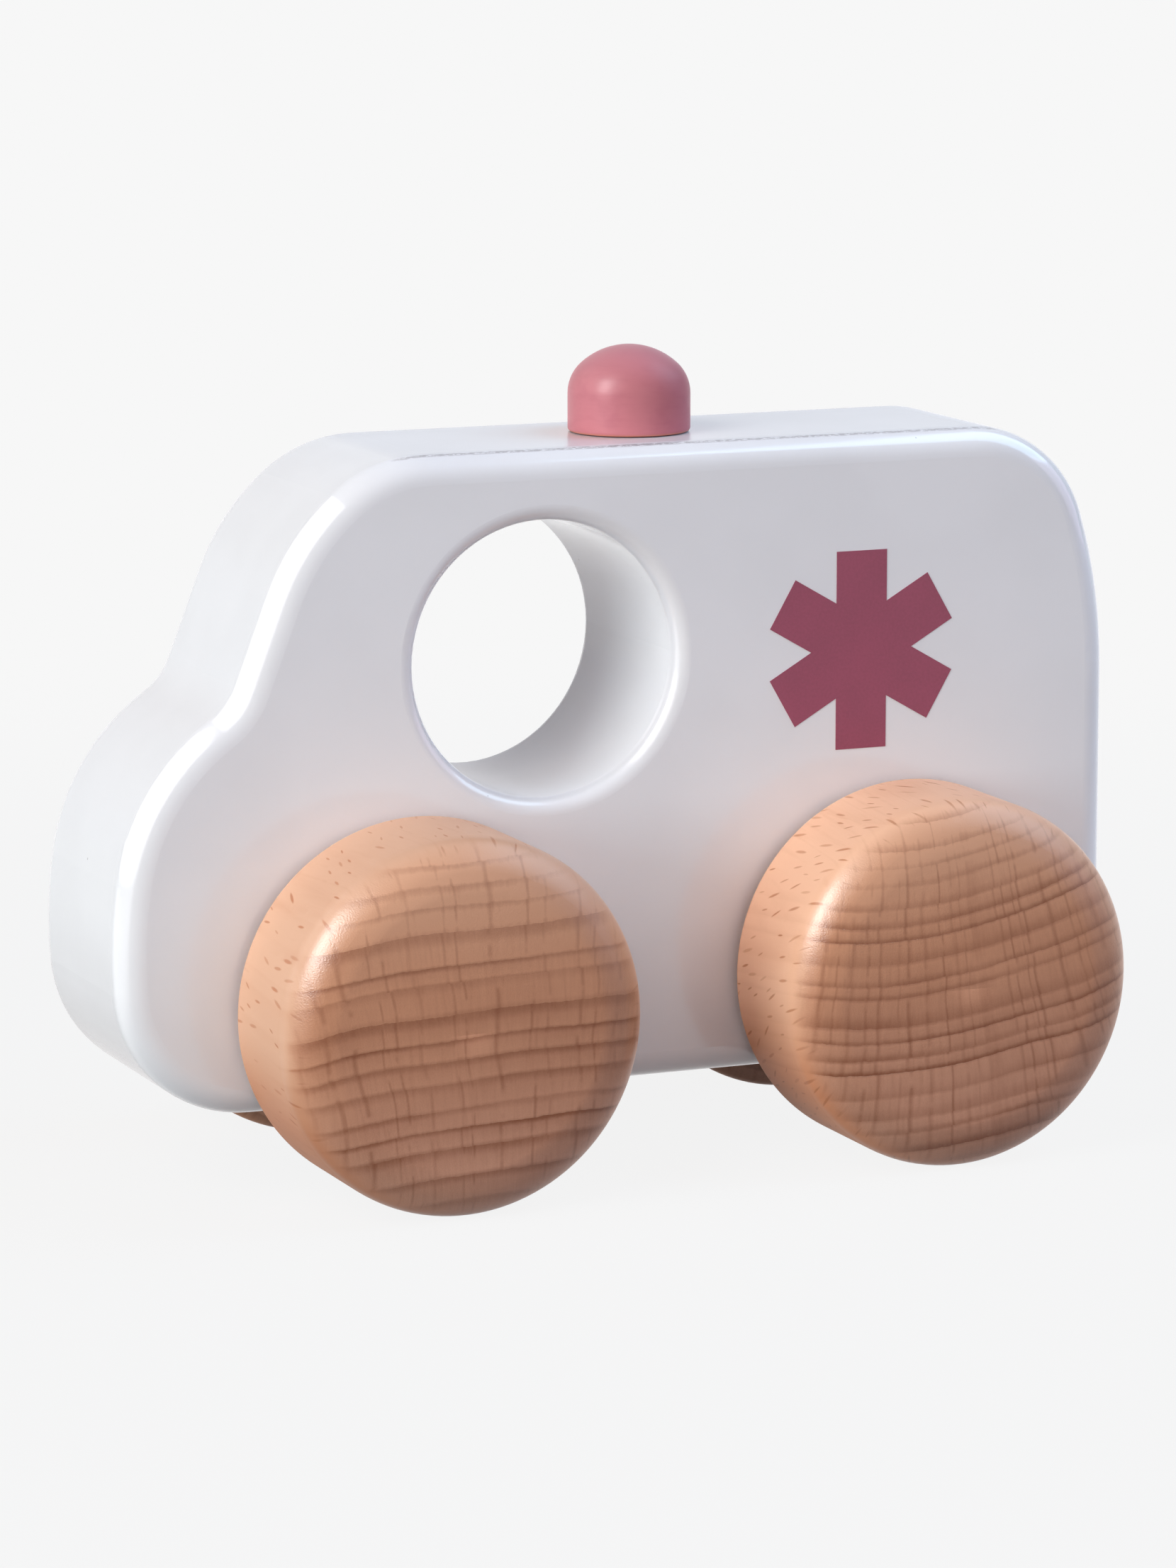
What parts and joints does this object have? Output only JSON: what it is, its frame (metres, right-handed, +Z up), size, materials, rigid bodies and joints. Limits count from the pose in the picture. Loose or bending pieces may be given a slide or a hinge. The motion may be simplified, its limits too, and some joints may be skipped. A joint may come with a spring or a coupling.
{
  "type": "toy ambulance",
  "caption": "Wooden push-along toy ambulance: lacquered van-shaped block with a finger hole, plain turned wheels on dowel axles and a domed roof lamp.",
  "frame": {"origin": "on the ground under the middle of the body, between the left and right wheels", "axes": "+X towards the tail (the nose points to -X), +Y towards the right-hand side, +Z up"},
  "size_m": [0.1144, 0.0616, 0.0868],
  "materials": {
    "white_lacquer": "white gloss lacquer on solid wood",
    "beech": "turned beech with satin varnish",
    "dowel_wood": "plain hardwood dowel",
    "pink_paint": "dusty pink satin paint on turned wood",
    "red_print": "burgundy printed film"
  },
  "bodies": {
    "body": {"body_block": "white_lacquer", "roof_lamp": "pink_paint", "lamp_dowel": "dowel_wood"},
    "front_wheel_set": {"front_axle": "dowel_wood", "front_left_wheel": "beech", "front_right_wheel": "beech"},
    "rear_wheel_set": {"rear_axle": "dowel_wood", "rear_left_wheel": "beech", "rear_right_wheel": "beech"}
  },
  "joints": [
    {"name": "front_wheels_roll", "type": "hinge", "parent": "body", "child": "front_wheel_set", "pos_m": [-0.0249, 0, 0.02], "axis": [0, 1, 0], "continuous": true},
    {"name": "rear_wheels_roll", "type": "hinge", "parent": "body", "child": "rear_wheel_set", "pos_m": [0.0319, 0, 0.02], "axis": [0, 1, 0], "continuous": true}
  ]
}
